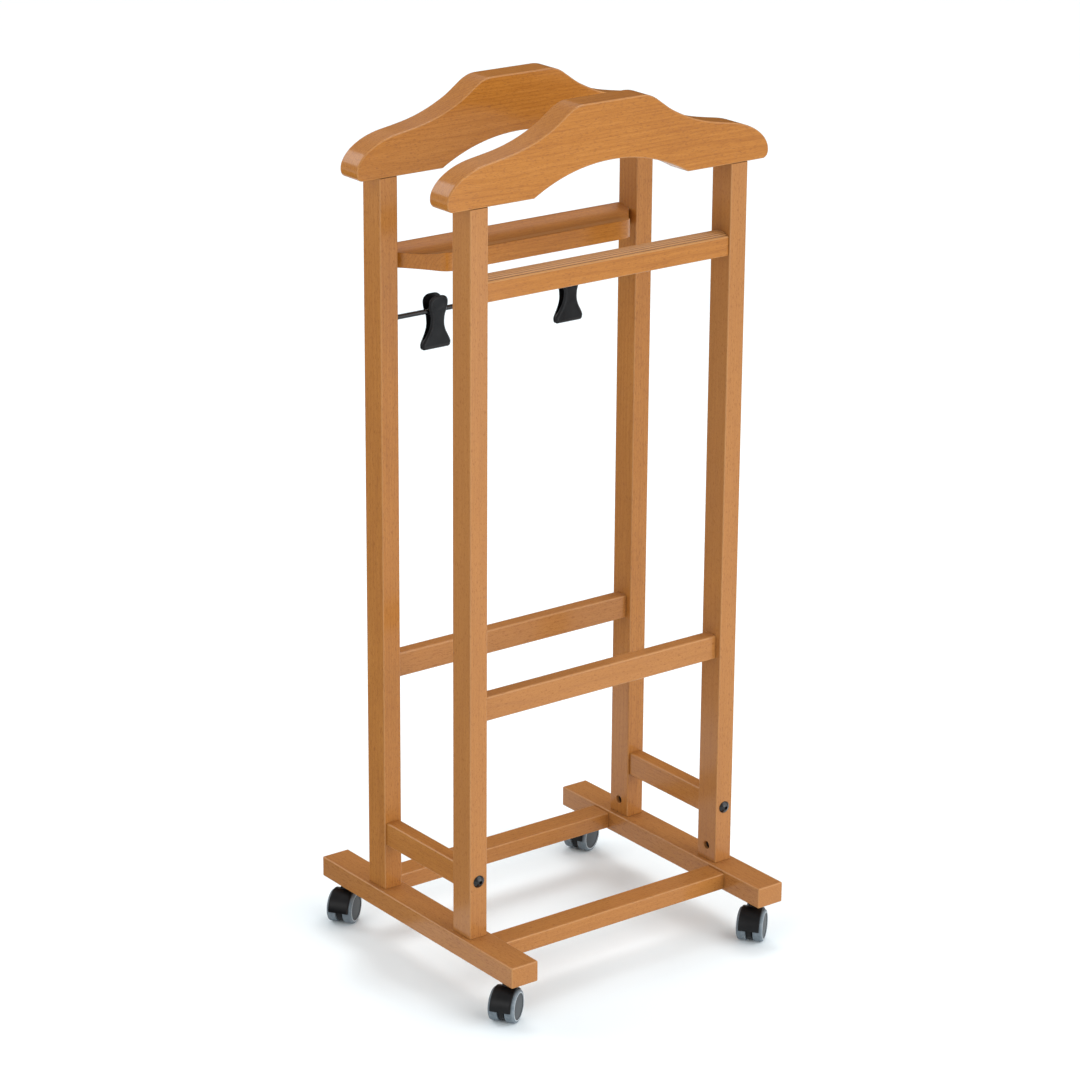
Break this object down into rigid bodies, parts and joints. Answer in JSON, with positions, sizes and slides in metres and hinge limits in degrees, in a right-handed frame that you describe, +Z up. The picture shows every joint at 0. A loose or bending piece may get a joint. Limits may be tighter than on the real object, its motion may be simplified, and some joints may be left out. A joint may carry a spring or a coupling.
{
  "type": "valet stand",
  "caption": "Beech valet stand with twin shoulder boards, a dished tray, a grooved trouser bar and a clip rod, rolling on hooded twin-wheel castors.",
  "frame": {"origin": "on the floor under the middle of the whole object", "axes": "+X runs along the shoulder boards to the user's right, -Y is the front with the trouser bar, +Z is up"},
  "size_m": [0.458, 0.3979, 1.054],
  "materials": {
    "lacquered_beech": "orange-brown stain under satin lacquer",
    "plain_beech": "plain",
    "black_steel": "glossy black",
    "zinc_steel": "zinc plated",
    "spring_steel": "drawn wire",
    "brass": "plain",
    "clip_plastic": "moulded black",
    "castor_plastic": "moulded black",
    "wheel_plastic": "moulded dark grey",
    "wheel_rubber": "blue-grey soft tread"
  },
  "bodies": {
    "root": {"front_left_post": "lacquered_beech", "front_right_post": "lacquered_beech", "rear_left_post": "lacquered_beech", "rear_right_post": "lacquered_beech", "left_foot": "lacquered_beech", "right_foot": "lacquered_beech", "front_base_rail": "lacquered_beech", "rear_base_rail": "lacquered_beech", "left_side_stretcher": "lacquered_beech", "right_side_stretcher": "lacquered_beech", "front_mid_rail": "lacquered_beech", "rear_mid_rail": "lacquered_beech", "trouser_bar": "lacquered_beech", "tray": "lacquered_beech", "front_shoulder": "lacquered_beech", "rear_shoulder": "lacquered_beech", "shoulder_dowels": "plain_beech", "cross_rail_dowels": "plain_beech", "base_rail_dowels": "plain_beech", "foot_bolts": "zinc_steel", "foot_barrel_nuts": "black_steel", "stretcher_bolts": "black_steel", "stretcher_inserts": "brass", "castor_inserts": "brass", "castor_stems": "zinc_steel", "clip_rod": "black_steel"},
    "front_left_castor": {"front_left_hood": "castor_plastic", "front_left_axle": "zinc_steel"},
    "front_left_outer_wheel": {"front_left_outer_core": "wheel_plastic", "front_left_outer_tread": "wheel_rubber"},
    "front_left_inner_wheel": {"front_left_inner_core": "wheel_plastic", "front_left_inner_tread": "wheel_rubber"},
    "front_right_castor": {"front_right_hood": "castor_plastic", "front_right_axle": "zinc_steel"},
    "front_right_outer_wheel": {"front_right_outer_core": "wheel_plastic", "front_right_outer_tread": "wheel_rubber"},
    "front_right_inner_wheel": {"front_right_inner_core": "wheel_plastic", "front_right_inner_tread": "wheel_rubber"},
    "rear_left_castor": {"rear_left_hood": "castor_plastic", "rear_left_axle": "zinc_steel"},
    "rear_left_outer_wheel": {"rear_left_outer_core": "wheel_plastic", "rear_left_outer_tread": "wheel_rubber"},
    "rear_left_inner_wheel": {"rear_left_inner_core": "wheel_plastic", "rear_left_inner_tread": "wheel_rubber"},
    "rear_right_castor": {"rear_right_hood": "castor_plastic", "rear_right_axle": "zinc_steel"},
    "rear_right_outer_wheel": {"rear_right_outer_core": "wheel_plastic", "rear_right_outer_tread": "wheel_rubber"},
    "rear_right_inner_wheel": {"rear_right_inner_core": "wheel_plastic", "rear_right_inner_tread": "wheel_rubber"},
    "left_clip": {"left_clip_spring": "spring_steel"},
    "left_clip_rear": {"left_clip_rear_jaw": "clip_plastic"},
    "left_clip_front": {"left_clip_front_jaw": "clip_plastic"},
    "right_clip": {"right_clip_spring": "spring_steel"},
    "right_clip_rear": {"right_clip_rear_jaw": "clip_plastic"},
    "right_clip_front": {"right_clip_front_jaw": "clip_plastic"}
  },
  "joints": [
    {"name": "front_left_swivel", "type": "hinge", "parent": "root", "child": "front_left_castor", "pos_m": [-0.186, -0.168, 0.042], "axis": [0, 0, 1], "continuous": true},
    {"name": "front_left_outer_spin", "type": "hinge", "parent": "front_left_castor", "child": "front_left_outer_wheel", "pos_m": [-0.19851, -0.17628, 0.02], "axis": [0.5519, -0.8339, 0], "continuous": true},
    {"name": "front_left_inner_spin", "type": "hinge", "parent": "front_left_castor", "child": "front_left_inner_wheel", "pos_m": [-0.19851, -0.17628, 0.02], "axis": [0.5519, -0.8339, 0], "continuous": true},
    {"name": "front_right_swivel", "type": "hinge", "parent": "root", "child": "front_right_castor", "pos_m": [0.186, -0.168, 0.042], "axis": [0, 0, 1], "continuous": true},
    {"name": "front_right_outer_spin", "type": "hinge", "parent": "front_right_castor", "child": "front_right_outer_wheel", "pos_m": [0.17418, -0.17724, 0.02], "axis": [0.6157, -0.788, 0], "continuous": true},
    {"name": "front_right_inner_spin", "type": "hinge", "parent": "front_right_castor", "child": "front_right_inner_wheel", "pos_m": [0.17418, -0.17724, 0.02], "axis": [0.6157, -0.788, 0], "continuous": true},
    {"name": "rear_left_swivel", "type": "hinge", "parent": "root", "child": "rear_left_castor", "pos_m": [-0.186, 0.168, 0.042], "axis": [0, 0, 1], "continuous": true},
    {"name": "rear_left_outer_spin", "type": "hinge", "parent": "rear_left_castor", "child": "rear_left_outer_wheel", "pos_m": [-0.19836, 0.1595, 0.02], "axis": [0.5664, -0.8241, 0], "continuous": true},
    {"name": "rear_left_inner_spin", "type": "hinge", "parent": "rear_left_castor", "child": "rear_left_inner_wheel", "pos_m": [-0.19836, 0.1595, 0.02], "axis": [0.5664, -0.8241, 0], "continuous": true},
    {"name": "rear_right_swivel", "type": "hinge", "parent": "root", "child": "rear_right_castor", "pos_m": [0.186, 0.168, 0.042], "axis": [0, 0, 1], "continuous": true},
    {"name": "rear_right_outer_spin", "type": "hinge", "parent": "rear_right_castor", "child": "rear_right_outer_wheel", "pos_m": [0.17219, 0.16214, 0.02], "axis": [0.3907, -0.9205, 0], "continuous": true},
    {"name": "rear_right_inner_spin", "type": "hinge", "parent": "rear_right_castor", "child": "rear_right_inner_wheel", "pos_m": [0.17219, 0.16214, 0.02], "axis": [0.3907, -0.9205, 0], "continuous": true},
    {"name": "left_clip_slide", "type": "slide", "parent": "root", "child": "left_clip", "axis": [1, 0, 0], "range_m": [-0.0435, 0.15]},
    {"name": "left_clip_turn", "type": "hinge", "parent": "left_clip", "child": "left_clip_rear", "pos_m": [-0.1095, 0.0875, 0.784], "axis": [1, 0, 0], "continuous": true, "deforming": ["left_clip_spring"]},
    {"name": "left_clip_open", "type": "hinge", "parent": "left_clip_rear", "child": "left_clip_front", "pos_m": [-0.1095, 0.0875, 0.784], "axis": [-1, 0, 0], "range_deg": [0, 30], "stiffness_Nm_per_rad": 0.12, "springref_deg": -28.65, "deforming": ["left_clip_spring"]},
    {"name": "right_clip_slide", "type": "slide", "parent": "root", "child": "right_clip", "axis": [1, 0, 0], "range_m": [-0.15, 0.068]},
    {"name": "right_clip_turn", "type": "hinge", "parent": "right_clip", "child": "right_clip_rear", "pos_m": [0.085, 0.0875, 0.784], "axis": [1, 0, 0], "continuous": true, "deforming": ["right_clip_spring"]},
    {"name": "right_clip_open", "type": "hinge", "parent": "right_clip_rear", "child": "right_clip_front", "pos_m": [0.085, 0.0875, 0.784], "axis": [-1, 0, 0], "range_deg": [0, 30], "stiffness_Nm_per_rad": 0.12, "springref_deg": -28.65, "deforming": ["right_clip_spring"]}
  ]
}
